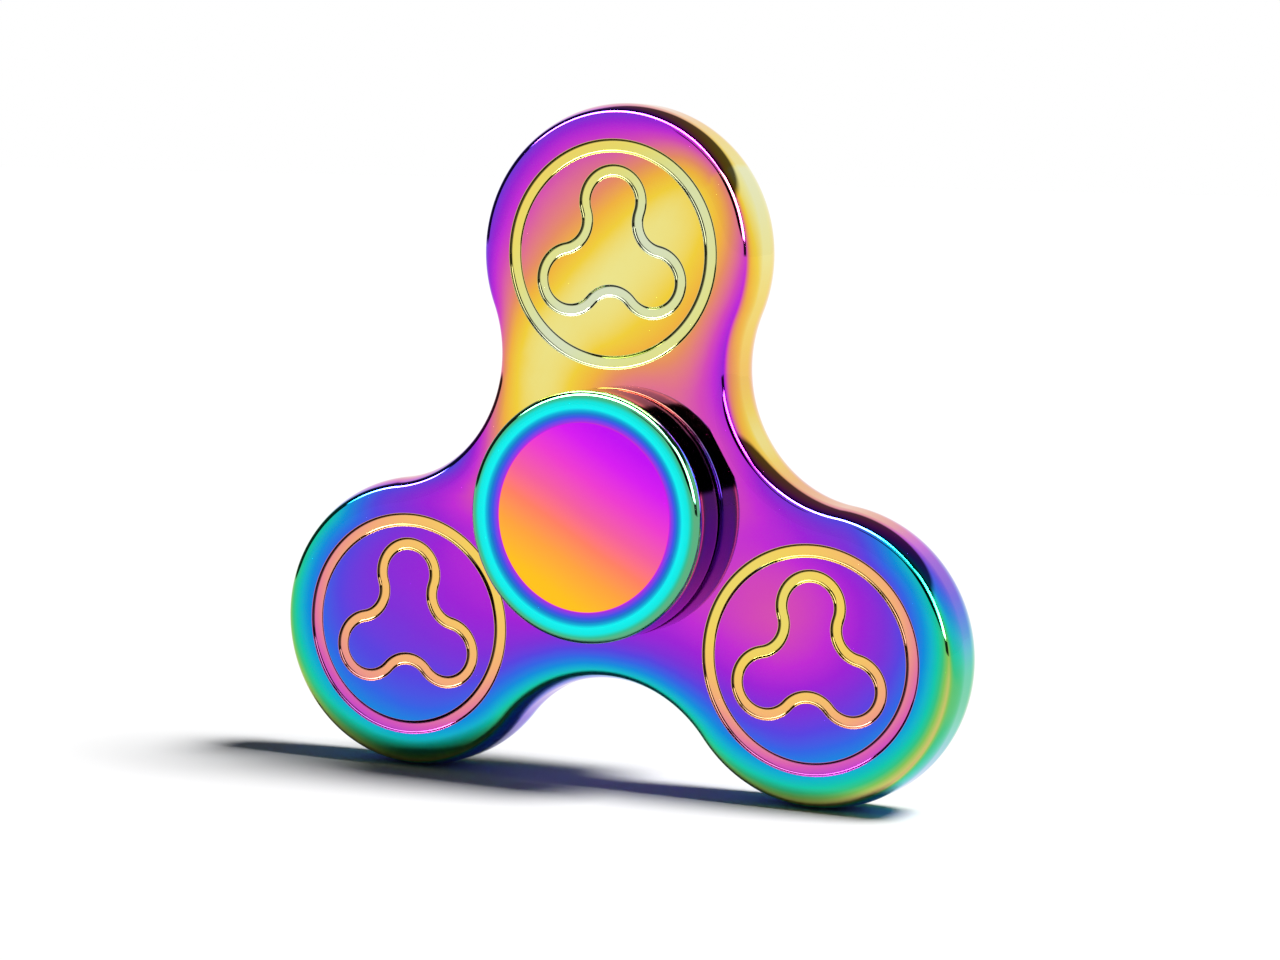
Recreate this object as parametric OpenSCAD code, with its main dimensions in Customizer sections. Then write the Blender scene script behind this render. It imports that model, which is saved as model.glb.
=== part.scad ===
// Three-lobed fidget spinner: a cast body turns on a 608 ball bearing between two finger caps.
// The spinner stands on two lobes. The spin axis is Y, the front faces -Y, and up is +Z.
// The origin is on the spin axis, halfway through the body's thickness.

/* [Body] */
// Distance from the spin axis to each lobe's centre
lobe_pitch_r = 26; // [25:0.1:28]
// Radius of each lobe
lobe_r = 15.1; // [14.5:0.1:16]
// Radius of each hollow between two lobes
waist_r = 13.4; // [12.5:0.1:14.5]
// Thickness of the body
body_t = 8; // [7.6:0.1:9]
// Radius of the bulging side wall
side_r = 6; // [5.8:0.1:6.2]
// Radius of the edge between the side wall and the face
edge_r = 0.9; // [0.7:0.05:1]
// Radius of the soft shoulder inside that edge
shoulder_r = 7.5; // [6:0.5:8]

/* [Grooves] */
// Radius of the ring groove's centre line
ring_r = 10.83; // [10:0.01:11]
// Width of the ring groove
ring_w = 1.25; // [0.8:0.05:1.4]
// Depth of the ring groove
ring_depth = 0.26; // [0.2:0.02:0.5]
// Distance from the lobe's centre to the centre of each trefoil arm's end
arm_reach = 5.25; // [4.8:0.05:5.5]
// Radius of each arm's round end, at the groove's centre line
arm_end_r = 3.1; // [2.8:0.05:3.3]
// Radius of each hollow between two arms, at the groove's centre line
arm_waist_r = 2.9; // [2.7:0.05:3.2]
// Width of the trefoil groove
arm_w = 1.15; // [0.8:0.05:1.3]
// Depth of the trefoil groove
arm_depth = 0.26; // [0.2:0.02:0.5]

/* [Caps] */
// Radius of each finger cap
cap_r = 12.65; // [12:0.05:13]
// Height of a cap's rim above the body's face
cap_h = 5.45; // [4.5:0.05:7]
// Gap between the body's face and the cap
cap_gap = 0.4; // [0.3:0.05:0.6]
// Radius of the crown along the cap's rim
cap_crown_r = 4; // [3:0.5:6]
// Radius of the cap's rounded outer edge
cap_edge_r = 0.85; // [0.6:0.05:1.1]
// Radius of the round at the foot of the cap's side
cap_foot_r = 0.4; // [0.2:0.05:0.6]
// Radius of the flat floor of the finger dish
dish_r = 9.4; // [8:0.1:9.8]
// Depth of the finger dish below the rim
dish_depth = 0.3; // [0.2:0.05:0.8]
// Thread diameter of the stud that joins the two caps
stud_d = 5; // [4:0.5:5]

/* [Bearing] */
// Outside diameter of the bearing
bearing_d = 22; // [22:1:22]
// Bore of the bearing
bearing_bore = 8; // [8:1:8]
// Width of the bearing
bearing_w = 7; // [7:1:7]
// Diameter of each ball
ball_d = 3.969; // [3.9:0.001:4]
// Diameter of the circle through the balls' centres
ball_pitch_d = 15; // [14.9:0.05:15.1]
// Number of balls
ball_n = 7; // [7:1:7]

/* [Hidden] */
$fn = 96;

// Lobes and hollows
LOBES = 3;
STEP_A = 360 / LOBES;
FIRST_A = 90;
half_t = body_t / 2;

// Edge profile: the surface normal's tilt where the side wall ends and where the shoulder starts
SIDE_TILT = 24;
EDGE_TILT = 76;
side_in = side_r * (1 - cos(SIDE_TILT));
side_up = side_r * sin(SIDE_TILT);
edge_in = edge_r * (cos(SIDE_TILT) - cos(EDGE_TILT));
edge_up = edge_r * (sin(EDGE_TILT) - sin(SIDE_TILT));
shoulder_in = shoulder_r * cos(EDGE_TILT);
shoulder_up = shoulder_r * (1 - sin(EDGE_TILT));
flat_in = side_in + edge_in + shoulder_in;
side_flat = half_t - side_up - edge_up - shoulder_up;

// Bearing sections
ball_r = ball_d / 2;
pitch_r = ball_pitch_d / 2;
race_r = ball_r + 0.045;      // ball to raceway, running clearance
outer_shoulder_r = 8.95;
inner_shoulder_r = 6.05;
ring_chamfer = 0.3;
shield_t = 0.3;
shield_inset = 0.25;          // from the bearing's side to the shield
shield_seat_r = 9.75;
shield_hole_r = 6.35;
half_w = bearing_w / 2;
shield_in_z = half_w - shield_inset - shield_t;

// Ball cage
cage_in_r = 6.75;
cage_out_r = 8.25;
cage_t = 0.35;
pocket_r = ball_r + 0.055;    // ball to cage, running clearance
pocket_out_r = pocket_r + 0.3;
rivet_r = 0.3;
rivet_head_r = 0.55;
rivet_head_t = 0.2;

// Caps: the surface normal's tilt where the rim's crown meets its outer edge
CROWN_TILT = 78;
cap_foot_z = half_t + cap_gap;
cap_top_z = half_t + cap_h;
dish_z = cap_top_z - dish_depth;
ridge_r = cap_r - cap_edge_r * (1 - cos(CROWN_TILT)) - cap_crown_r * cos(CROWN_TILT);
boss_r = 5.6;                 // foot that clamps the inner ring
barrel_r = bearing_bore / 2 - 0.03;
barrel_end_z = -half_w + 0.3;
stud_hole_r = stud_d / 2 + 0.05;
stud_end_z = 2.6;
stud_hole_end_z = 3.4;

// The lobes' edges stay this much inside the web's where they join, so that no two faces share an edge
seam_step = 0.01;
// Angle by which the trefoil cutter's hollow arcs reach into its round ends
seam_lap = 1;

// Steps along each curve of a section
ARC_STEPS = 5;
DISH_STEPS = 8;
CROWN_STEPS = 3;
RING_STEPS = 6;

// Turns the local frame (spin axis Z, front up) into the standing one
module stand() {
    rotate([90, 0, 0]) children();
}

module at_lobes() {
    for (i = [0 : LOBES - 1]) rotate([0, 0, FIRST_A + i * STEP_A]) children();
}

// Distance from the middle to the centre of each hollow of a three-lobed outline with tangent arcs
function waist_dist(reach, end_r, hollow_r) =
    (reach + sqrt(reach * reach - 4 * (reach * reach - pow(end_r + hollow_r, 2)))) / 2;

// Half the angle that each lobe's round end spans
function end_half_angle(reach, dist) = 180 - atan2(dist * sin(60), reach - dist * cos(60));

// Half the angle that each hollow spans
function waist_half_angle(reach, dist) = atan2(reach * sin(60), dist - reach * cos(60));

// [inset from the outline, height above the mid-plane] from the side's flat band to the face
function arc_in(r, a0, a1, in0, up0, steps) = [for (i = [1 : steps])
    let (a = a0 + (a1 - a0) * i / steps)
    [in0 + r * (cos(a0) - cos(a)), up0 + r * (sin(a) - sin(a0))]];

edge_points = concat(
    [[0, side_flat]],
    arc_in(side_r, 0, SIDE_TILT, 0, side_flat, ARC_STEPS),
    arc_in(edge_r, SIDE_TILT, EDGE_TILT, side_in, side_flat + side_up, ARC_STEPS),
    arc_in(shoulder_r, EDGE_TILT, 90, side_in + edge_in, half_t - shoulder_up, ARC_STEPS));

LAST = len(edge_points) - 1;

// The same edge on both faces, as [inset, height], from the rear face to the front face
both_edges = concat(
    [for (i = [LAST : -1 : 0]) [edge_points[i][0], -edge_points[i][1]]],
    edge_points);

module lobe_end(dist) {
    half = end_half_angle(lobe_pitch_r, dist);
    translate([lobe_pitch_r, 0, 0])
        rotate([0, 0, -half])
            rotate_extrude(angle = 2 * half)
                polygon(concat([[0, -half_t]],
                               [for (p = both_edges) [lobe_r - seam_step - p[0], p[1]]],
                               [[0, half_t]]));
}

module hollow_cutter(dist) {
    over = 1;
    rotate([0, 0, STEP_A / 2])
        translate([dist, 0, 0])
            rotate_extrude()
                polygon(concat([[0, -half_t - over], [waist_r + flat_in, -half_t - over]],
                               [for (p = both_edges) [waist_r + p[0], p[1]]],
                               [[waist_r + flat_in, half_t + over], [0, half_t + over]]));
}

module web(dist) {
    difference() {
        translate([0, 0, -half_t])
            linear_extrude(body_t)
                polygon([for (i = [0 : 2 * LOBES - 1])
                    let (r = i % 2 == 0 ? lobe_pitch_r : dist)
                    let (a = FIRST_A + i * STEP_A / 2)
                    [r * cos(a), r * sin(a)]]);
        at_lobes() hollow_cutter(dist);
    }
}

// A round-bottomed groove's cutter has this radius for a given width and depth
function groove_r(w, depth) = (w * w / 4 + depth * depth) / (2 * depth);

// Part of a ring-shaped cutter, centred on the X axis, with its tube thinner by the given step
module groove_arc(r, w, depth, half_angle, step) {
    g = groove_r(w, depth);
    rotate([0, 0, -half_angle])
        rotate_extrude(angle = 2 * half_angle)
            translate([r, g - depth]) circle(r = g - step, $fn = 48);
}

module ring_groove() {
    g = groove_r(ring_w, ring_depth);
    floor_points = [for (i = [0 : RING_STEPS]) let (x = ring_w * (i / RING_STEPS - 0.5))
        [ring_r + x, g - ring_depth - sqrt(g * g - x * x)]];
    rotate_extrude()
        polygon(concat(floor_points, [[ring_r + ring_w / 2, ring_w], [ring_r - ring_w / 2, ring_w]]));
}

module trefoil_groove() {
    dist = waist_dist(arm_reach, arm_end_r, arm_waist_r);
    for (i = [0 : LOBES - 1]) {
        rotate([0, 0, i * STEP_A])
            translate([arm_reach, 0, 0])
                groove_arc(arm_end_r, arm_w, arm_depth, end_half_angle(arm_reach, dist), 0);
        rotate([0, 0, (i + 0.5) * STEP_A])
            translate([dist, 0, 0])
                rotate([0, 0, 180])
                    groove_arc(arm_waist_r, arm_w, arm_depth,
                               waist_half_angle(arm_reach, dist) + seam_lap, seam_step);
    }
}

module at_faces() {
    for (side = [0, 1]) mirror([0, 0, side])
        at_lobes() translate([lobe_pitch_r, 0, half_t]) children();
}

module body() {
    dist = waist_dist(lobe_pitch_r, lobe_r, waist_r);
    color("MediumOrchid")
        stand()
            difference() {
                union() {
                    web(dist);
                    at_lobes() lobe_end(dist);
                }
                translate([0, 0, -half_t - 1])
                    cylinder(r = bearing_d / 2, h = body_t + 2);
                at_faces() ring_groove();
                at_faces() trefoil_groove();
            }
}

// A bearing ring's blank with chamfered corners, before its raceway is cut
module ring_blank(in_r, out_r) {
    c = ring_chamfer;
    rotate_extrude()
        polygon([[in_r + c, -half_w], [out_r - c, -half_w], [out_r, -half_w + c],
                 [out_r, half_w - c], [out_r - c, half_w], [in_r + c, half_w],
                 [in_r, half_w - c], [in_r, -half_w + c]]);
}

module raceway() {
    rotate_extrude() translate([pitch_r, 0]) circle(r = race_r);
}

module bearing_outer_ring() {
    color("Silver")
        stand()
            difference() {
                ring_blank(outer_shoulder_r, bearing_d / 2);
                raceway();
                for (side = [0, 1]) mirror([0, 0, side])
                    translate([0, 0, shield_in_z])
                        cylinder(r = shield_seat_r, h = half_w);
            }
}

module bearing_inner_ring() {
    color("Silver")
        stand()
            difference() {
                ring_blank(bearing_bore / 2, inner_shoulder_r);
                raceway();
            }
}

module shield(side) {
    color("DarkGray")
        stand()
            mirror([0, 0, side])
                translate([0, 0, shield_in_z])
                    difference() {
                        cylinder(r = shield_seat_r, h = shield_t);
                        translate([0, 0, -1]) cylinder(r = shield_hole_r, h = shield_t + 2);
                    }
}

module ball(i) {
    color("LightGray")
        stand()
            rotate([0, 0, FIRST_A + (i - 1) * 360 / ball_n])
                translate([pitch_r, 0, 0]) sphere(r = ball_r);
}

module at_balls(turn) {
    for (i = [0 : ball_n - 1])
        rotate([0, 0, FIRST_A + (i + turn) * 360 / ball_n])
            translate([pitch_r, 0, 0]) children();
}

// Half of the pressed ribbon cage: flats between the balls and a round pocket over each ball
module cage_half(side) {
    color("DimGray")
        stand()
            mirror([0, 0, side])
                difference() {
                    intersection() {
                        union() {
                            cylinder(r = cage_out_r, h = cage_t);
                            at_balls(0) sphere(r = pocket_out_r);
                        }
                        difference() {
                            cylinder(r = cage_out_r, h = pocket_out_r + 1);
                            translate([0, 0, -1]) cylinder(r = cage_in_r, h = pocket_out_r + 3);
                        }
                    }
                    at_balls(0) sphere(r = pocket_r);
                    at_balls(0.5) translate([0, 0, -1]) cylinder(r = rivet_r, h = 3);
                }
}

module cage_rivets() {
    color("SlateGray")
        stand()
            at_balls(0.5) {
                translate([0, 0, -cage_t]) cylinder(r = rivet_r, h = 2 * cage_t);
                translate([0, 0, cage_t]) cylinder(r = rivet_head_r, h = rivet_head_t);
                translate([0, 0, -cage_t - rivet_head_t]) cylinder(r = rivet_head_r, h = rivet_head_t);
            }
}

// Cap head with its foot on the inner ring: side, round edge, rim and finger dish
module cap_head() {
    foot = [for (i = [0 : ARC_STEPS]) let (a = -90 + 90 * i / ARC_STEPS)
        [cap_r - cap_foot_r + cap_foot_r * cos(a), cap_foot_z + cap_foot_r + cap_foot_r * sin(a)]];
    down = concat(
        [[0, 0]],
        arc_in(cap_crown_r, 90, CROWN_TILT, 0, 0, CROWN_STEPS),
        arc_in(cap_edge_r, CROWN_TILT, 0, -cap_crown_r * cos(CROWN_TILT),
               -cap_crown_r * (1 - sin(CROWN_TILT)), DISH_STEPS));
    edge = [for (i = [len(down) - 1 : -1 : 0]) [ridge_r - down[i][0], cap_top_z + down[i][1]]];
    rim = [for (i = [1 : DISH_STEPS]) let (k = i / DISH_STEPS)
        [ridge_r - (ridge_r - dish_r) * k, dish_z + dish_depth * (1 + cos(180 * k)) / 2]];
    rotate_extrude()
        polygon(concat([[0, half_w], [boss_r, half_w], [boss_r, cap_foot_z]],
                       foot, edge, rim, [[0, dish_z]]));
}

// Front cap: a barrel with a tapped hole passes through the bearing
module front_cap() {
    color("DarkTurquoise")
        stand()
            difference() {
                union() {
                    cap_head();
                    translate([0, 0, barrel_end_z])
                        cylinder(r = barrel_r, h = half_w - barrel_end_z);
                }
                translate([0, 0, barrel_end_z - 1])
                    cylinder(r = stud_hole_r, h = stud_hole_end_z - barrel_end_z + 1);
            }
}

// Rear cap: its stud screws into the front cap's barrel
module rear_cap() {
    color("DarkTurquoise")
        stand()
            mirror([0, 0, 1])
                union() {
                    cap_head();
                    translate([0, 0, -stud_end_z])
                        cylinder(r = stud_d / 2, h = stud_end_z + half_w);
                }
}

body();
bearing_outer_ring();
bearing_inner_ring();
shield(0);  // shield_front
shield(1);  // shield_rear
cage_half(0);  // cage_front
cage_half(1);  // cage_rear
cage_rivets();
front_cap();
rear_cap();
ball(1);  // ball_1
ball(2);  // ball_2
ball(3);  // ball_3
ball(4);  // ball_4
ball(5);  // ball_5
ball(6);  // ball_6
ball(7);  // ball_7
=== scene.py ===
"""Fidget spinner with a rainbow-coated body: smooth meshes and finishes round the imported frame.

Lengths in the mesh code are millimetres in a local frame: the spin axis is Z, +Z is the front and +Y is up.
place() turns finished points into the row frame (front towards -Y, up +Z) and into metres.
"""
import math

import bmesh
import bpy
import numpy as np
from mathutils import Matrix, Vector
from mathutils.geometry import delaunay_2d_cdt


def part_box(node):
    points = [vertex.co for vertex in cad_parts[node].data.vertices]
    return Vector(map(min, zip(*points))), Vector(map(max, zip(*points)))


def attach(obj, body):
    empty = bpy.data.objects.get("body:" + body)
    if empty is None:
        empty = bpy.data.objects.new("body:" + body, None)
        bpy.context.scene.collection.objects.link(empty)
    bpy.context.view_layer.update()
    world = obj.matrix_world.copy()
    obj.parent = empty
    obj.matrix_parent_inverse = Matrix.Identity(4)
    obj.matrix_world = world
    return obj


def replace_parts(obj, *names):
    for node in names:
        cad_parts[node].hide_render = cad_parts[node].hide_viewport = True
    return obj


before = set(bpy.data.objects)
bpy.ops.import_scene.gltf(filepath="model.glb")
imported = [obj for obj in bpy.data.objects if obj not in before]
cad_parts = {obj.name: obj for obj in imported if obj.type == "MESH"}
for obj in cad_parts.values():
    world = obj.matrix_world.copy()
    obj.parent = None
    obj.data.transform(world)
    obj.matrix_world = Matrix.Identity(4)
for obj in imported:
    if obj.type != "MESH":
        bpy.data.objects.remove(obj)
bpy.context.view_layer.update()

MM = 0.001
ARMS = 3
FIRST_ARM = math.radians(90)


# ---------------------------------------------------------------- sizes

def box_mm(node):
    """A CAD node's lowest and highest corners in mm, to 0.1 mm, which evens out its facets."""
    return [[round(c / MM, 1) for c in corner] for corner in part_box(node)]


BODY_LOW, BODY_HIGH = box_mm("body")
HALF_T = BODY_HIGH[1]
LOBE_PITCH = 2 * (BODY_HIGH[2] + BODY_LOW[2])
LOBE_R = BODY_HIGH[2] - LOBE_PITCH
WAIST_R = 13.4
BORE_R = 11.0
BORE_LIP = 0.15

# The body's edge: bulging side wall, tight edge, soft shoulder; tilts are of the surface's normal
SIDE_R, EDGE_R, SHOULDER_R = 6.0, 0.9, 7.5
SIDE_TILT, EDGE_TILT = 24, 76

# Grooves: centre lines, widths and depths
RING_R, RING_W, RING_DEPTH = 10.83, 1.25, 0.26
TREFOIL_REACH, TREFOIL_END_R, TREFOIL_WAIST_R = 5.25, 3.1, 2.9
TREFOIL_W, TREFOIL_DEPTH = 1.15, 0.26
GROOVE_LIP, GROOVE_STEEP = 0.08, 66

# Caps
CAP_R = 12.65
CAP_TOP = -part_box("front_cap")[0][1] / MM
CAP_GAP, CAP_EDGE_R, CAP_FOOT_R = 0.4, 0.85, 0.4
CROWN_R, CROWN_TILT = 4.0, 78
DISH_R, DISH_DEPTH = 9.4, 0.3
BOSS_R, BEARING_HALF_W = 5.6, 3.5
BARREL_R, BARREL_END = 3.97, -3.2
STUD_R, STUD_END = 2.5, -2.6
STUD_HOLE_R, STUD_HOLE_END = 2.55, 3.4
THREAD_PITCH = 0.8

# Mesh steps
OUTLINE_STEP = 0.55
GROOVE_STEP = 0.3
FACE_STEP = 1.1
RING_COUNT = round(2 * math.pi * RING_R / OUTLINE_STEP)
BORE_COUNT = 150
CAP_SPOKES = 192

# Camera: direction, roll in degrees, the point it aims at and its distance in mm, lens in mm
CAMERA_AZIMUTH, CAMERA_ELEVATION, CAMERA_ROLL = 25.26, 5.54, 1.36
CAMERA_AIM, CAMERA_DISTANCE, CAMERA_LENS = (1.37, 0.98, 3.08), 348.5, 96.5


# ---------------------------------------------------------------- outlines

def hollow_distance(reach, end_r, hollow_r):
    """Distance from the middle to the centre of each hollow of a three-lobed outline with tangent arcs."""
    return (reach + math.sqrt(reach**2 - 4 * (reach**2 - (end_r + hollow_r) ** 2))) / 2


def three_lobed(reach, end_r, hollow_r, step):
    """Points and outward normals, counter-clockwise, of a three-lobed outline with tangent arcs."""
    dist = hollow_distance(reach, end_r, hollow_r)
    rise, run = math.sin(math.pi / ARMS), math.cos(math.pi / ARMS)
    end_half = math.pi - math.atan2(dist * rise, reach - dist * run)
    hollow_half = math.atan2(reach * rise, dist - reach * run)
    points, normals = [], []
    for arm in range(ARMS):
        axis = FIRST_ARM + arm * 2 * math.pi / ARMS
        between = axis + math.pi / ARMS
        for centre_r, centre_a, r, start, sweep, out in (
            (reach, axis, end_r, axis - end_half, 2 * end_half, 1),
            (dist, between, hollow_r, between + math.pi + hollow_half, -2 * hollow_half, -1),
        ):
            count = max(4, round(abs(sweep) * r / step))
            a = start + sweep * np.arange(count) / count
            ray = np.stack([np.cos(a), np.sin(a)], 1)
            centre = centre_r * np.array([math.cos(centre_a), math.sin(centre_a)])
            points.append(centre + r * ray)
            normals.append(out * ray)
    return np.concatenate(points), np.concatenate(normals)


def inset_from(points, reach, end_r, hollow_r):
    """How far each point lies inside a three-lobed outline."""
    dist = hollow_distance(reach, end_r, hollow_r)
    sector = 2 * math.pi / ARMS
    a = np.arctan2(points[:, 1], points[:, 0]) - FIRST_ARM
    a = np.abs((a + sector / 2) % sector - sector / 2)
    r = np.hypot(points[:, 0], points[:, 1])
    x, y = r * np.cos(a), r * np.sin(a)
    hx, hy = dist * math.cos(sector / 2), dist * math.sin(sector / 2)
    on_lobe = (hx - reach) * y - hy * (x - reach) < 0
    return np.where(on_lobe, end_r - np.hypot(x - reach, y), np.hypot(x - hx, y - hy) - hollow_r)


def circle(r, count):
    a = 2 * math.pi * np.arange(count) / count
    ray = np.stack([np.cos(a), np.sin(a)], 1)
    return r * ray, ray


def lobe_centres():
    a = FIRST_ARM + np.arange(ARMS) * 2 * math.pi / ARMS
    return LOBE_PITCH * np.stack([np.cos(a), np.sin(a)], 1)


# ---------------------------------------------------------------- coating

# The thin streak across the top lobe, a painted sheen: start, direction, length, and how far it reaches on
# each side
SHEEN_STREAK_START, SHEEN_STREAK_WAY, SHEEN_STREAK_LENGTH = (-10.5, 14.6), (0.74, 0.67), 26
SHEEN_STREAK_REACH_LEFT, SHEEN_STREAK_REACH_RIGHT = 6.0, 11.5
SHEEN_STREAK_FILM, SHEEN_STREAK_START_FILM, SHEEN_STREAK_RISE = 0.0, -0.07, 0.26

# Below the hub: the coating at the hub, its rise per mm outwards, and the height where this part takes over
LOW_FILM, LOW_RISE, LOW_TOP = 0.386, 0.0064, 2.7

# Towards the outline the coating rises over about EDGE_REACH mm, and on the wall it falls again
EDGE_REACH = 2.5
WALL_START, WALL_DROP, WALL_DROP_REACH = 0.5, 0.26, 0.3


def spot(x, y, centre_x, centre_y, reach_x, reach_y):
    """A soft round patch: 1 at its centre, fading to 0 over its reach."""
    return np.exp(-(((x - centre_x) / reach_x) ** 2) - ((y - centre_y) / reach_y) ** 2)


def film_top(x, y):
    """Place on the colour ramp above the hub: palest along a streak of painted sheen, and the coating
    thickening away from it.
    """
    (start_x, start_y), (way_x, way_y) = SHEEN_STREAK_START, SHEEN_STREAK_WAY
    along = np.clip((x - start_x) * way_x + (y - start_y) * way_y, 0, SHEEN_STREAK_LENGTH)
    dx, dy = x - (start_x + way_x * along), y - (start_y + way_y * along)
    reach = np.where(way_x * dy > way_y * dx, SHEEN_STREAK_REACH_LEFT, SHEEN_STREAK_REACH_RIGHT)
    # The streak's pale colours are a painted sheen
    streak = SHEEN_STREAK_START_FILM + (SHEEN_STREAK_FILM - SHEEN_STREAK_START_FILM) * np.clip(along / 8, 0, 1)
    away = SHEEN_STREAK_RISE * (1 - np.exp(-(dx**2 + dy**2) / reach**2))
    return streak + away + 0.12 * spot(x, y, 1, 12.5, 6, 4) + 0.16 * spot(x, y, -17, 4, 5, 4.5)


def film_low(x, y):
    """Coating thickness below the hub: more downwards and outwards, with a thin spot on the right lobe."""
    down = np.clip(-y - 5, 0, 30)
    outwards = LOW_RISE * np.clip(np.hypot(x, y) - 14, 0, None)
    return LOW_FILM + 0.002 * down + 0.0002 * down**2 + outwards - 0.13 * spot(x, y, 20.6, -9.3, 9.2, 9.2)


def film_on_face(x, y):
    """Coating thickness on the face with the painted sheen streak, as a place on the colour ramp, before
    the rise towards the outline.
    """
    blend = np.clip((LOW_TOP - y) / 6, 0, 1)
    blend = blend * blend * (3 - 2 * blend)
    return film_top(x, y) * (1 - blend) + film_low(x, y) * blend


def film_and_painted_light(points):
    """Coating thickness at points (n, 3) on the body, with a painted sheen streak and a painted reflection
    on the lower walls.
    """
    x, y, height = points[:, 0], points[:, 1], np.abs(points[:, 2])
    inset = np.clip(inset_from(points[:, :2], LOBE_PITCH, LOBE_R, WAIST_R), 0, None)
    low = np.clip((10 - y) / 24, 0, 1)
    top_rise, low_rise = 0.36 - 0.003 * x, 0.56 - 0.003 * np.clip(-y - 8, 0, 20) + 0.0006 * x
    rise = (top_rise * (1 - low) + low_rise * low) * np.exp(-inset / EDGE_REACH)
    rise = rise * (1 - 0.4 * spot(x, y, 14, 7, 5, 5))
    wall = np.clip(HALF_T - WALL_START - height, 0, None)
    # On the lower walls the colour falls further, to purple: a painted reflection of the shaded floor below
    # them
    fall = WALL_DROP * (1 - np.exp(-wall / WALL_DROP_REACH)) + (0.06 + 0.045 * low) * wall
    # The right lobe's outer side stays green
    fall = fall * (1 - 0.45 * spot(x, y, 37, -15, 7, 8))
    return film_on_face(x, y) + rise - fall


def painted_groove_shade_mask(points):
    """Where painted shade goes: 1 on the steep sides of the grooves, 0 on their floors and on the face."""
    down = HALF_T - np.abs(points[:, 2])
    above_floor = RING_DEPTH - 0.02 - down
    return np.clip(down / 0.012, 0, 1) * np.clip(above_floor / 0.04, 0, 1)


# ---------------------------------------------------------------- mesh building

class Shell:
    """Collects points, normals and faces of one piece, then makes its object."""

    def __init__(self):
        self.points, self.normals, self.faces, self.slots = [], [], [], []
        self.count = 0

    def add(self, points, normals, faces, slot=0):
        self.points.append(points)
        self.normals.append(normals)
        self.faces += [[i + self.count for i in f] for f in faces]
        self.slots += [slot] * len(faces)
        self.count += len(points)

    def strip(self, line, line_normals, section, slot=0, flip=False):
        """A closed band; section rows are (offset along the line's normal, height, tilt of the normal)."""
        n = len(line)
        points, normals, faces = [], [], []
        for offset, height, tilt in section:
            flat = line + offset * line_normals
            points.append(np.column_stack([flat, np.full(n, height)]))
            side = math.cos(tilt) * line_normals
            normals.append(np.column_stack([side, np.full(n, math.sin(tilt))]))
        for row in range(len(section) - 1):
            for i in range(n):
                j = (i + 1) % n
                quad = [row * n + i, (row + 1) * n + i, (row + 1) * n + j, row * n + j]
                faces.append(quad[::-1] if flip else quad)
        self.add(np.concatenate(points), np.concatenate(normals), faces, slot)

    def mirrored(self):
        """The same shell on the other side of the mid-plane."""
        other = Shell()
        flip = np.array([1, 1, -1])
        other.points = [p * flip for p in self.points]
        other.normals = [n * flip for n in self.normals]
        other.faces = [f[::-1] for f in self.faces]
        other.slots = list(self.slots)
        other.count = self.count
        return other

    def join(self, other):
        self.points += other.points
        self.normals += other.normals
        self.faces += [[i + self.count for i in f] for f in other.faces]
        self.slots += other.slots
        self.count += other.count

    def make(self, name, materials, attributes, sharp_angle=None):
        """The object. Its normals are those given or, with sharp_angle, sharp above that angle."""
        points = np.concatenate(self.points)
        normals = np.concatenate(self.normals)
        mesh = bpy.data.meshes.new(name)
        bm = bmesh.new()
        keep_normal = bm.verts.layers.float_vector.new("way_out")
        layers = {key: bm.verts.layers.float.new(key) for key in attributes}
        values = {key: rule(points) for key, rule in attributes.items()}
        placed, turned = place(points), place(normals) / MM
        verts = []
        for i, co in enumerate(placed):
            v = bm.verts.new(co)
            v[keep_normal] = Vector(turned[i])
            for key, layer in layers.items():
                v[layer] = float(values[key][i])
            verts.append(v)
        for f, slot in zip(self.faces, self.slots):
            face = bm.faces.new([verts[i] for i in f])
            face.material_index = slot
            face.smooth = True
        bmesh.ops.remove_doubles(bm, verts=bm.verts, dist=1e-6)
        bm.to_mesh(mesh)
        way_out = [tuple(v[keep_normal]) for v in bm.verts]
        bm.free()
        mesh.attributes.remove(mesh.attributes["way_out"])
        if sharp_angle is None:
            mesh.normals_split_custom_set_from_vertices(way_out)
        else:
            mesh.set_sharp_from_angle(angle=math.radians(sharp_angle))
        for material in materials:
            mesh.materials.append(material)
        obj = bpy.data.objects.new(name, mesh)
        bpy.context.scene.collection.objects.link(obj)
        return obj


def place(points):
    """Local millimetres to row-frame metres."""
    return np.column_stack([points[:, 0], -points[:, 2], points[:, 1]]) * MM


def arc_rows(r, tilt_0, tilt_1, start, steps):
    """Rows along a convex arc: offset falls and height rises as the normal tilts, in degrees."""
    offset, height = start
    rows = []
    a0 = math.radians(tilt_0)
    for i in range(1, steps + 1):
        a = math.radians(tilt_0 + (tilt_1 - tilt_0) * i / steps)
        inward, up = r * (math.cos(a0) - math.cos(a)), r * (math.sin(a) - math.sin(a0))
        rows.append((offset - inward, height + up, a))
    return rows


def edge_section():
    """The body's edge from its front face to its rear face."""
    shoulder_up = SHOULDER_R * (1 - math.sin(math.radians(EDGE_TILT)))
    edge_up = EDGE_R * (math.sin(math.radians(EDGE_TILT)) - math.sin(math.radians(SIDE_TILT)))
    side_up = SIDE_R * math.sin(math.radians(SIDE_TILT))
    rows = [(0.0, HALF_T - shoulder_up - edge_up - side_up, 0.0)]
    for r, tilt_0, tilt_1, steps in (
        (SIDE_R, 0, SIDE_TILT, 9),
        (EDGE_R, SIDE_TILT, EDGE_TILT, 8),
        (SHOULDER_R, EDGE_TILT, 90, 7),
    ):
        rows += arc_rows(r, tilt_0, tilt_1, rows[-1][:2], steps)
    front = rows[::-1]
    rear = [(offset, -height, -tilt) for offset, height, tilt in rows]
    return front + rear


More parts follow.
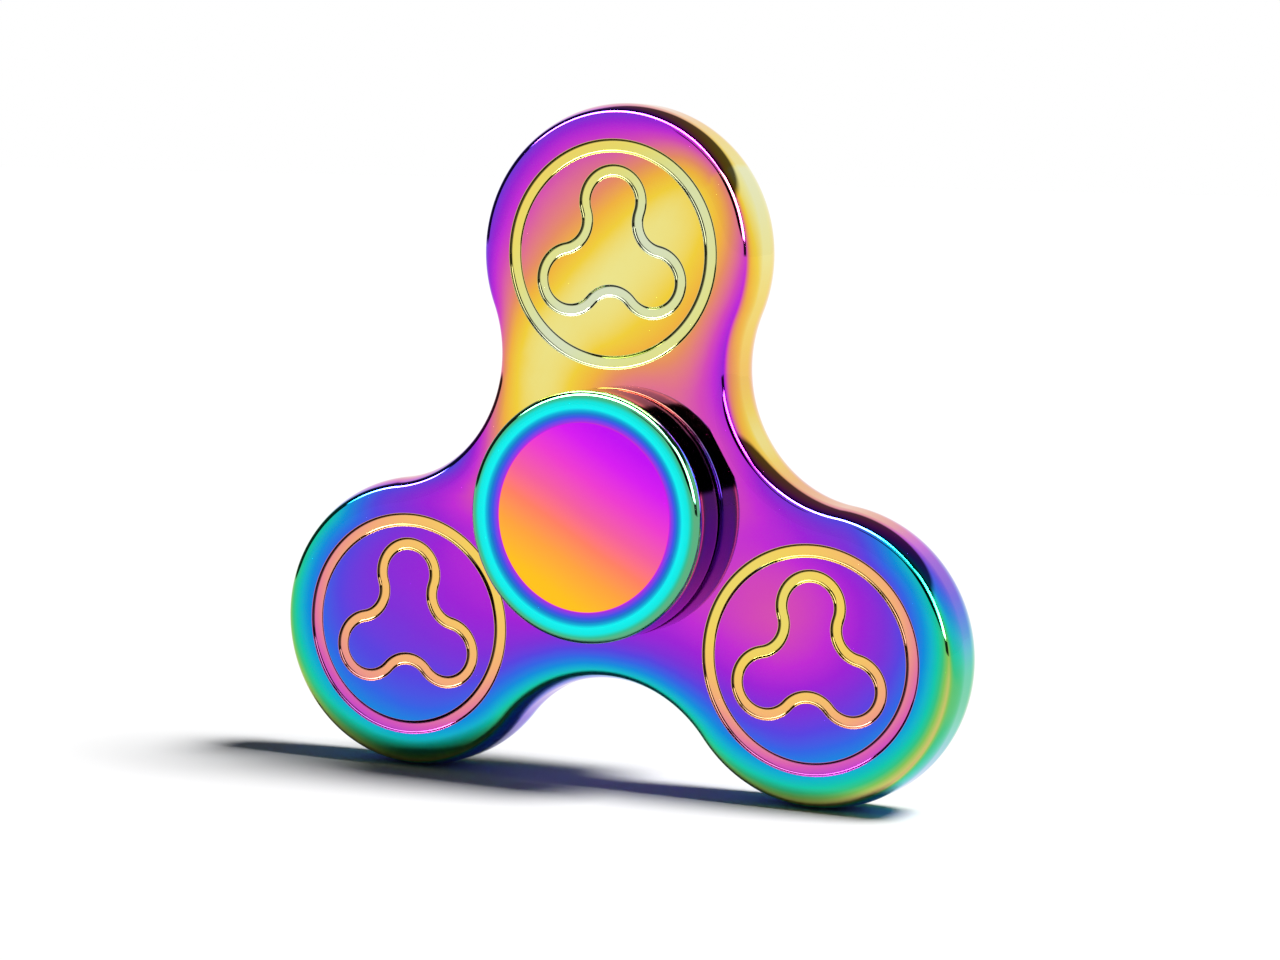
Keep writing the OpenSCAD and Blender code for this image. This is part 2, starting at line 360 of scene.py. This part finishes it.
def groove_section(width, depth):
    """A groove in a face, from its inner to its outer lip: flat floor, rounded corners and lips."""
    steep = math.radians(GROOVE_STEEP)
    corner = depth / (1 - math.cos(steep)) - GROOVE_LIP
    flat = width / 2 - corner * math.sin(steep)
    half = width / 2 + GROOVE_LIP * math.sin(steep)
    up = math.pi / 2
    rows = []
    for a in np.linspace(0, steep, 6):
        fall = GROOVE_LIP * (1 - math.cos(a))
        rows.append((half - GROOVE_LIP * math.sin(a), HALF_T - fall, up + a))
    for a in np.linspace(steep, 0, 9)[1:]:
        rise = corner * (1 - math.cos(a))
        rows.append((flat + corner * math.sin(a), HALF_T - depth + rise, up + a))
    outer = rows[::-1]
    inner = [(-offset, height, math.pi - tilt) for offset, height, tilt in rows]
    return inner + outer, half


# ---------------------------------------------------------------- body

def flat_face(shell, flat_inset, ring_half, trefoil_half, outline, trefoil):
    """The flat parts of the front face, as triangles between the edge, the bore and the grooves."""
    line, line_normals = outline
    loops = [line - flat_inset * line_normals, circle(BORE_R + BORE_LIP, BORE_COUNT)[0]]
    for centre in lobe_centres():
        for offset in (-ring_half, ring_half):
            loops.append(centre + circle(RING_R + offset, RING_COUNT)[0])
        for offset in (-trefoil_half, trefoil_half):
            loops.append(centre + trefoil[0] + offset * trefoil[1])
    points, edges = [], []
    for loop in loops:
        start = len(points)
        points += list(loop)
        edges += [(start + i, start + (i + 1) % len(loop)) for i in range(len(loop))]
    reach = LOBE_PITCH + LOBE_R
    ticks = np.arange(-reach, reach, FACE_STEP)
    grid = np.array([(x + (row % 2) * FACE_STEP / 2, y) for row, y in enumerate(ticks) for x in ticks])
    grid = grid[on_flat(grid, flat_inset, ring_half, trefoil_half, 0.4 * FACE_STEP)]
    points += list(grid)
    found, _, triangles, _, _, _ = delaunay_2d_cdt([Vector(p) for p in points], edges, [], 0, 1e-6)
    flat = np.array([tuple(p) for p in found])
    middles = flat[np.array(triangles)].mean(1)
    keep = on_flat(middles, flat_inset, ring_half, trefoil_half, 0)
    faces = [list(t) for t, k in zip(triangles, keep) if k]
    co = np.column_stack([flat, np.full(len(flat), HALF_T)])
    shell.add(co, np.tile([0.0, 0.0, 1.0], (len(flat), 1)), faces)


def on_flat(points, flat_inset, ring_half, trefoil_half, margin):
    """True where a point of the face lies on its flat, at least margin from every edge of the flat."""
    ok = inset_from(points, LOBE_PITCH, LOBE_R, WAIST_R) > flat_inset + margin
    ok &= np.hypot(points[:, 0], points[:, 1]) > BORE_R + BORE_LIP + margin
    for centre in lobe_centres():
        local = points - centre
        ok &= np.abs(np.hypot(local[:, 0], local[:, 1]) - RING_R) > ring_half + margin
        gap = inset_from(local, TREFOIL_REACH, TREFOIL_END_R, TREFOIL_WAIST_R)
        ok &= np.abs(gap) > trefoil_half + margin
    return ok


def build_body(coat, groove_coat):
    outline = three_lobed(LOBE_PITCH, LOBE_R, WAIST_R, OUTLINE_STEP)
    trefoil = three_lobed(TREFOIL_REACH, TREFOIL_END_R, TREFOIL_WAIST_R, GROOVE_STEP)
    edge = edge_section()
    ring_rows, ring_half = groove_section(RING_W, RING_DEPTH)
    trefoil_rows, trefoil_half = groove_section(TREFOIL_W, TREFOIL_DEPTH)

    face = Shell()
    flat_face(face, -edge[0][0], ring_half, trefoil_half, outline, trefoil)
    ring, ring_normals = circle(RING_R, RING_COUNT)
    for centre in lobe_centres():
        face.strip(centre + ring, ring_normals, ring_rows, slot=1)
        face.strip(centre + trefoil[0], trefoil[1], trefoil_rows, slot=1)
    bore, bore_normals = circle(BORE_R, BORE_COUNT)
    lip = [(BORE_LIP * (1 - math.sin(a)), HALF_T - BORE_LIP * (1 - math.cos(a)), math.pi / 2 + a)
           for a in np.linspace(0, math.pi / 2, 5)]
    face.strip(bore, bore_normals, lip, flip=True)

    shell = Shell()
    shell.strip(*outline, edge)
    shell.join(face)
    shell.join(face.mirrored())
    wall = HALF_T - BORE_LIP
    shell.strip(bore, bore_normals, [(0, wall, math.pi), (0, 0, math.pi), (0, -wall, math.pi)], flip=True)
    # Attributes: the colour's place on the ramp, and the mask of painted shade on the grooves' steep sides
    return shell.make("spinner_body", [coat, groove_coat], {"film_and_painted_light": film_and_painted_light, "painted_shade": painted_groove_shade_mask})


# ---------------------------------------------------------------- caps

def cap_head():
    """The outside of a cap's head as (radius, height), from the dish's middle to the foot."""
    dish_z = CAP_TOP - DISH_DEPTH
    crown = math.radians(CROWN_TILT)
    crown_fall = CROWN_R * (1 - math.sin(crown))
    edge_r, edge_z = CAP_R - CAP_EDGE_R, CAP_TOP - crown_fall - CAP_EDGE_R * math.sin(crown)
    ridge_r = edge_r + (CAP_EDGE_R - CROWN_R) * math.cos(crown)
    span = ridge_r - DISH_R
    up = math.pi / 2
    rows = [(r, dish_z) for r in (0.0, 2.5, 5.0, 7.5, DISH_R - 0.6, DISH_R - 0.1, DISH_R)]
    for k in np.linspace(0, 1, 17)[1:]:
        rows.append((DISH_R + span * k, dish_z + DISH_DEPTH * (1 - math.cos(math.pi * k)) / 2))
    for a in np.linspace(up, crown, 7)[1:]:
        rows.append((ridge_r + CROWN_R * math.cos(a), CAP_TOP - CROWN_R * (1 - math.sin(a))))
    for a in np.linspace(crown, 0, 19)[1:]:
        rows.append((edge_r + CAP_EDGE_R * math.cos(a), edge_z + CAP_EDGE_R * math.sin(a)))
    foot = HALF_T + CAP_GAP
    rows += [(CAP_R, h) for h in np.linspace(edge_z, foot + CAP_FOOT_R, 8)[1:]]
    for a in np.linspace(0, -up, 9)[1:]:
        rows.append((CAP_R - CAP_FOOT_R * (1 - math.cos(a)), foot + CAP_FOOT_R * (1 + math.sin(a))))
    return rows


def cap_underside(stem_r):
    """From the cap's foot to the top of its stem: a boss clamps the bearing's inner ring."""
    foot = HALF_T + CAP_GAP
    return [(BOSS_R + 0.15, foot), (BOSS_R, foot - 0.15), (BOSS_R, BEARING_HALF_W + 0.1),
            (BOSS_R - 0.1, BEARING_HALF_W), (stem_r, BEARING_HALF_W)]


def thread(r, depth, pitch, start, end):
    """Rows of a thread, drawn as rings, from start to end along the axis; depth is below 0 in a hole."""
    way = 1 if end > start else -1
    rows = []
    for crest in np.arange(start, end - way * pitch, way * pitch):
        rows += [(r, crest), (r, crest + way * 0.12 * pitch),
                 (r - depth, crest + way * 0.5 * pitch), (r - depth, crest + way * 0.62 * pitch)]
    return rows


def build_cap(name, coat, stem, mirrored):
    rows = cap_head() + stem
    spokes = circle(1.0, CAP_SPOKES)[1]
    shell = Shell()
    shell.strip(0 * spokes, spokes, [(r, h, 0.0) for r, h in rows])
    if mirrored:
        shell = shell.mirrored()
    return shell.make(name, [coat], {"film_and_painted_light": cap_film_and_painted_reflection}, sharp_angle=32)


def cap_film_and_painted_reflection(points):
    """Place on the cap's colour ramp: a slanting sweep over the dish, then rings out to the side, which is
    painted with dark reflections.
    """
    x, y, height = points[:, 0], points[:, 1], np.abs(points[:, 2])
    r = np.hypot(x, y)
    sweep = (0.50 * x + 0.87 * y) / DISH_R
    dish = np.clip(0.39 + 0.22 * sweep, 0, 0.6)
    ring_r = [DISH_R, 9.65, 10.2, 10.95, 11.6, 12.2]
    rings = np.interp(r, ring_r, [0.62, 0.68, 0.75, 0.87, 0.90, 0.97])
    # The side is painted with the reflections it shows: green at the top, then teal, navy and, at the
    # bottom, plum, under a cyan edge
    side_top = CAP_TOP - CAP_EDGE_R
    side = np.interp(y, [-CAP_R, -6, 0, 4, CAP_R], [1.75, 1.62, 1.52, 1.44, 1.30])
    edge = np.exp(-np.clip(side_top - height, 0, None) / 0.5)
    side = 0.87 * edge + side * (1 - edge)
    outer = np.where(height < side_top, side, rings)
    return np.where(r < DISH_R + 0.01, dish, outer)


# ---------------------------------------------------------------- materials

def srgb(code):
    """A colour from its hex code, as the linear values that nodes take."""
    parts = [int(code[i : i + 2], 16) / 255 for i in (0, 2, 4)]
    return [c / 12.92 if c <= 0.04045 else ((c + 0.055) / 1.055) ** 2.4 for c in parts] + [1.0]


class Finish:
    """A metal material with small helpers that add and join nodes."""

    def __init__(self, name, **constants):
        self.material = bpy.data.materials.new(name)
        self.material.use_nodes = True
        self.tree = self.material.node_tree
        self.shader = self.tree.nodes["Principled BSDF"]
        self.shader.inputs["Metallic"].default_value = 1.0
        for socket, value in constants.items():
            self.shader.inputs[socket.replace("_", " ")].default_value = value
        self.object_place = self.node("ShaderNodeTexCoord").outputs["Object"]

    def node(self, kind, inputs=None, **settings):
        made = self.tree.nodes.new(kind)
        for key, value in settings.items():
            setattr(made, key, value)
        for key, value in (inputs or {}).items():
            if isinstance(value, bpy.types.NodeSocket):
                self.tree.links.new(value, made.inputs[key])
            else:
                made.inputs[key].default_value = value
        return made

    def link(self, source, socket):
        self.tree.links.new(source, self.shader.inputs[socket])

    def math(self, operation, a, b):
        return self.node("ShaderNodeMath", {0: a, 1: b}, operation=operation).outputs[0]

    def spread(self, value, low, high, from_low=0.0, from_high=1.0):
        """value moved from one range to another."""
        ends = {"Value": value, "From Min": from_low, "From Max": from_high, "To Min": low, "To Max": high}
        return self.node("ShaderNodeMapRange", ends).outputs["Result"]

    def noise(self, per_metre, detail=3.0, place=None):
        values = {"Vector": place or self.object_place, "Scale": per_metre, "Detail": detail}
        return self.node("ShaderNodeTexNoise", values).outputs["Fac"]

    def stretched(self, x, y, z):
        """Object coordinates scaled along each axis, for a grain with a direction."""
        scale = {"Vector": self.object_place, "Scale": (x, y, z)}
        return self.node("ShaderNodeMapping", scale).outputs["Vector"]

    def ramp(self, value, stops):
        made = self.node("ShaderNodeValToRGB", {"Fac": value})
        elements = made.color_ramp.elements
        low, high = stops[0][0], stops[-1][0]
        while len(elements) > 1:
            elements.remove(elements[-1])
        for i, (position, code) in enumerate(stops):
            element = elements[0] if i == 0 else elements.new((position - low) / (high - low))
            element.position = (position - low) / (high - low)
            element.color = srgb(code)
        return made.outputs["Color"]

    def darkened(self, colour, amount):
        """A colour dulled by amount where the mesh's attribute for painted shade is 1."""
        line = self.node("ShaderNodeAttribute", attribute_name="painted_shade").outputs["Fac"]
        left = self.math("SUBTRACT", 1.0, self.math("MULTIPLY", line, amount))
        return self.node("ShaderNodeVectorMath", {0: colour, "Scale": left}, operation="SCALE").outputs[0]

    def bump(self, height, strength, distance):
        values = {"Height": height, "Strength": strength, "Distance": distance}
        self.link(self.node("ShaderNodeBump", values).outputs["Normal"], "Normal")


FILM_COLOURS = [
    (-0.40, "cfdde6"), (-0.20, "c9dcd2"), (-0.08, "dfe3b4"), (0.00, "e8e08a"), (0.07, "eccb38"),
    (0.14, "ecae3c"), (0.20, "e28a60"), (0.26, "dc6d8c"), (0.32, "d044b4"), (0.38, "bd26d0"),
    (0.44, "9a1cd2"), (0.50, "7a2cd4"), (0.56, "5440dc"), (0.62, "2e62e0"), (0.69, "0088d8"),
    (0.76, "00b0c8"), (0.83, "00c4a4"), (0.89, "30c07c"), (0.95, "7cc058"), (1.02, "c4c068"),
    (1.10, "d09a80"), (1.20, "b090b8"), (1.40, "a0b0d0"),
]

GROOVE_COLOURS = [
    (-0.45, "cfd8d4"), (-0.33, "d4dca8"), (-0.20, "dcdc88"), (-0.08, "e6d868"), (0.02, "f0cc5c"),
    (0.10, "f2bc68"), (0.18, "f0a878"), (0.25, "e48490"), (0.31, "d458b0"), (0.37, "b838cc"),
    (0.50, "7a40d8"),
]

CAP_COLOURS = [
    (0.00, "ffca08"), (0.20, "ffbe18"), (0.28, "ffa03c"), (0.34, "ff7e60"), (0.40, "f25c9c"),
    (0.47, "ea38cc"), (0.54, "d414ec"), (0.60, "bc00f0"), (0.62, "c828c8"), (0.67, "9430e4"),
    (0.73, "3c50e4"), (0.78, "0c78cc"), (0.83, "00b0d8"), (0.87, "00f0f0"), (0.90, "00e4dc"),
    (0.94, "30bc90"), (0.98, "64a878"), (1.06, "c0b460"), (1.22, "f4ecb0"),
    # The last stops colour the cap's side: painted reflections of the dark surroundings and of the body's
    # face
    (1.31, "5c7c3c"), (1.40, "0c6058"), (1.50, "243080"), (1.60, "4c2078"), (1.75, "7c2c58"),
]


def film_material(name, colours, shift, waver, painted_shade=0.0):
    """Mirror-bright metal coloured by the coating's thickness and by painted sheen and reflections, with
    faint clouds and wipe marks.

    The last argument is how much the coating is dulled, as painted shade, where the mesh's attribute of
    that name is 1.
    """
    f = Finish(name, Coat_Weight=0.15, Coat_Roughness=0.02)
    thickness = f.node("ShaderNodeAttribute", attribute_name="film_and_painted_light").outputs["Fac"]
    cloud = f.spread(f.noise(90), -waver, waver)
    total = f.math("ADD", thickness, f.math("ADD", cloud, shift))
    low, high = colours[0][0], colours[-1][0]
    colour = f.ramp(f.spread(total, 0, 1, low, high), colours)
    if painted_shade:
        colour = f.darkened(colour, painted_shade)
    f.link(colour, "Base Color")
    wiped = f.noise(260, 4.0, f.stretched(1.0, 1.0, 5.0))
    f.link(f.spread(wiped, 0.02, 0.07), "Roughness")
    f.bump(f.noise(420, 2.0), 0.02, 0.0002)
    return f.material


def steel_material(name, dark, bright, rough, grain):
    """Steel with a turned or rolled grain."""
    f = Finish(name)
    lines = f.noise(900, 4.0, f.stretched(*grain))
    f.link(f.ramp(lines, [(0.0, dark), (1.0, bright)]), "Base Color")
    f.link(f.spread(f.noise(300, 3.0), rough * 0.7, rough * 1.3), "Roughness")
    f.bump(lines, 0.08, 0.0001)
    return f.material


# ---------------------------------------------------------------- object

def dress_bearing():
    """Better steels for the bearing's own nodes, whose shapes stay as they are."""
    ring_steel = steel_material("bearing_ring_steel", "8d9196", "d2d5d8", 0.22, (1, 9, 1))
    shield_steel = steel_material("shield_sheet_steel", "85898d", "c6c9cb", 0.32, (6, 1, 1))
    cage_steel = steel_material("cage_pressed_steel", "6d7074", "aeb1b4", 0.38, (1, 1, 6))
    ball_steel = steel_material("ball_steel", "c2c6ca", "e4e7ea", 0.08, (1, 1, 1))
    steels = {"bearing": ring_steel, "shield": shield_steel, "cage": cage_steel, "ball": ball_steel}
    for name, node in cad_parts.items():
        steel = steels.get(name.split("_")[0])
        if steel:
            node.data.materials.clear()
            node.data.materials.append(steel)


coat = film_material("rainbow_coat", FILM_COLOURS, 0.0, 0.03)
# The groove coating is dulled on the grooves' steep sides: painted shade
groove_coat = film_material("rainbow_groove", GROOVE_COLOURS, -0.38, 0.03, 0.93)
cap_coat = film_material("rainbow_cap_coat", CAP_COLOURS, 0.0, 0.008)

body = build_body(coat, groove_coat)
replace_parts(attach(body, "rotor"), "body")

tapped = thread(STUD_HOLE_R, -0.25, THREAD_PITCH, BARREL_END + 0.3, STUD_HOLE_END)
barrel_end = [(BARREL_R, BARREL_END + 0.3), (BARREL_R - 0.3, BARREL_END), (STUD_HOLE_R + 0.3, BARREL_END)]
hole_end = [(STUD_HOLE_R, STUD_HOLE_END), (0, STUD_HOLE_END)]
barrel = cap_underside(BARREL_R) + barrel_end + tapped + hole_end
threaded = thread(STUD_R, 0.3, THREAD_PITCH, 3.0, STUD_END + 0.4)
stud_end = [(STUD_R, STUD_END + 0.4), (STUD_R - 0.4, STUD_END), (0, STUD_END)]
stud = cap_underside(STUD_R) + threaded + stud_end
for name, stem, mirrored in (("front_cap", barrel, False), ("rear_cap", stud, True)):
    cap = build_cap("spinner_" + name, cap_coat, stem, mirrored)
    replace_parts(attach(cap, "grip"), name)

dress_bearing()


# ---------------------------------------------------------------- studio

FLOOR_Z = -(LOBE_PITCH / 2 + LOBE_R) * MM


def build_floor():
    mesh = bpy.data.meshes.new("floor")
    bm = bmesh.new()
    bmesh.ops.create_circle(bm, cap_ends=True, segments=64, radius=6.0)
    bm.to_mesh(mesh)
    bm.free()
    floor = bpy.data.objects.new("floor", mesh)
    floor.location = (0, 0, FLOOR_Z)
    bpy.context.scene.collection.objects.link(floor)
    paper = Finish("floor_paper", Roughness=1.0, Specular_IOR_Level=0.0)
    paper.shader.inputs["Metallic"].default_value = 0.0
    paper.link(paper.ramp(paper.noise(14), [(0.0, "f6f6f6"), (1.0, "fbfbfb")]), "Base Color")
    mesh.materials.append(paper.material)


def build_sun(name, azimuth, elevation, strength, softness):
    """A soft key light from a compass direction, which the polished metal doesn't mirror."""
    data = bpy.data.lights.new(name, "SUN")
    data.energy = strength
    data.angle = math.radians(softness)
    sun = bpy.data.objects.new(name, data)
    sun.rotation_euler = (look(azimuth + 180, -elevation)).to_track_quat("-Z", "Y").to_euler()
    sun.visible_glossy = False
    bpy.context.scene.collection.objects.link(sun)


def look(azimuth, elevation):
    """A unit direction: azimuth 0 is -Y, the front, and 90 is +X; elevation is above the horizon."""
    a, e = math.radians(azimuth), math.radians(elevation)
    return Vector((math.sin(a) * math.cos(e), -math.cos(a) * math.cos(e), math.sin(e)))


# The boxes and flags stand where the photograph's view needs their reflections. Each has a strength, a left
# and a right azimuth, a bottom and a top height, and a blur of its sides and of its ends.
# Azimuths and side blurs are in degrees; heights and end blurs are sines of the elevation.
FRONT_BOX = (1.0, -62, 41, -0.5, 0.9, 3, 0.05)
TOP_STRIP = (40.0, -62, 45, 0.4, 1.5, 3, 0.02)
SIDE_STRIP = (28.0, 44, 64, 0.14, 0.70, 1, 0.02)
RIGHT_BOX = (1.0, 75, 200, -0.5, 0.56, 4, 0.05)
LEFT_BOX = (1.0, -200, -125, -0.5, 0.56, 8, 0.06)
CAMERA_FLAG = (1.0, 5, 34, 0.10, 0.52, 2, 0.02)
UPPER_FLAG = (1.0, -12, 34, 0.38, 0.52, 2, 0.01)
ROOM_LIGHT, ROOM_LIGHT_BEHIND = 0.03, 0.06


class Studio:
    """The world: plain white to the camera, and soft boxes and black flags in the metal's reflections."""

    def __init__(self, ambient):
        world = bpy.data.worlds.new("studio")
        bpy.context.scene.world = world
        world.use_nodes = True
        self.tree = world.node_tree
        direction = self.node("ShaderNodeTexCoord").outputs["Generated"]
        self.x, self.y, self.z = self.node("ShaderNodeSeparateXYZ", {0: direction}).outputs
        self.azimuth = self.math("ARCTAN2", self.x, self.math("MULTIPLY", self.y, -1.0))
        path = self.node("ShaderNodeLightPath").outputs
        first = self.math("LESS_THAN", path["Diffuse Depth"], 0.5)
        mirrored = self.math("MULTIPLY", self.math("MULTIPLY", self.boxes(), path["Is Glossy Ray"]), first)
        seen = self.math("ADD", mirrored, path["Is Camera Ray"])
        soft = self.math("MULTIPLY", path["Is Diffuse Ray"], ambient)
        background = self.tree.nodes["Background"]
        self.tree.links.new(self.math("ADD", seen, soft), background.inputs["Strength"])
        background.inputs["Color"].default_value = (1, 1, 1, 1)

    def node(self, kind, inputs=None):
        made = self.tree.nodes.new(kind)
        for key, value in (inputs or {}).items():
            if isinstance(value, bpy.types.NodeSocket):
                self.tree.links.new(value, made.inputs[key])
            else:
                made.inputs[key].default_value = value
        return made

    def math(self, operation, a, b):
        made = self.node("ShaderNodeMath", {0: a, 1: b})
        made.operation = operation
        return made.outputs[0]

    def step(self, value, low, high):
        """0 below low, 1 above high, smooth between; falls instead of rises when high is below low."""
        falls = high < low
        made = self.node("ShaderNodeMapRange", {
            "Value": value, "From Min": min(low, high), "From Max": max(low, high),
            "To Min": float(falls), "To Max": float(not falls)})
        made.interpolation_type = "SMOOTHSTEP"
        return made.outputs["Result"]

    def box(self, strength, left, right, bottom, top, blur_a, blur_h):
        """A soft box between two azimuths and two heights."""
        blur = math.radians(blur_a)
        a = self.math("MULTIPLY",
                      self.step(self.azimuth, math.radians(left) - blur, math.radians(left) + blur),
                      self.step(self.azimuth, math.radians(right) + blur, math.radians(right) - blur))
        h = self.math("MULTIPLY", self.step(self.z, bottom - blur_h, bottom + blur_h),
                      self.step(self.z, top + blur_h, top - blur_h))
        return self.math("MULTIPLY", self.math("MULTIPLY", a, h), strength)

    def boxes(self):
        """Brightness of the surroundings that the metal mirrors; the floor side is lit all over."""
        behind = self.math("MULTIPLY", self.step(self.y, 0.0, 0.4), ROOM_LIGHT_BEHIND)
        room = self.math("ADD", ROOM_LIGHT, behind)
        lit = self.math("MAXIMUM", room, self.step(self.z, 0.02, -0.02))
        # The front box ends, going up and back, where the top strip starts
        front = self.math("MULTIPLY", self.box(*FRONT_BOX), self.step(self.y, -0.52, -0.55))
        band = self.math("MULTIPLY", self.step(self.y, -0.56, -0.53), self.step(self.y, -0.25, -0.28))
        strip = self.math("MULTIPLY", band, self.box(*TOP_STRIP))
        for light in (front, strip, self.box(*SIDE_STRIP), self.box(*RIGHT_BOX), self.box(*LEFT_BOX)):
            lit = self.math("MAXIMUM", lit, light)
        dark = self.math("MAXIMUM", self.box(*CAMERA_FLAG), self.box(*UPPER_FLAG))
        return self.math("MULTIPLY", lit, self.math("SUBTRACT", 1.0, dark))


def build_camera():
    """The camera, from its aim point, distance, direction and roll."""
    data = bpy.data.cameras.new("camera")
    data.lens, data.sensor_width = CAMERA_LENS, 36.0
    data.clip_start, data.clip_end = 0.01, 50.0
    camera = bpy.data.objects.new("camera", data)
    bpy.context.scene.collection.objects.link(camera)
    toward = -look(CAMERA_AZIMUTH, CAMERA_ELEVATION)
    turn = toward.to_track_quat("-Z", "Y").to_matrix().to_4x4()
    roll = Matrix.Rotation(math.radians(CAMERA_ROLL), 4, "Z")
    place_at = Vector(CAMERA_AIM) * MM - toward * CAMERA_DISTANCE * MM
    camera.matrix_world = Matrix.Translation(place_at) @ turn @ roll
    bpy.context.scene.camera = camera


build_floor()
build_sun("key_sun", 101, 60, 3.87, 20)
Studio(0.04)
build_camera()
bpy.context.scene.view_settings.view_transform = "Standard"
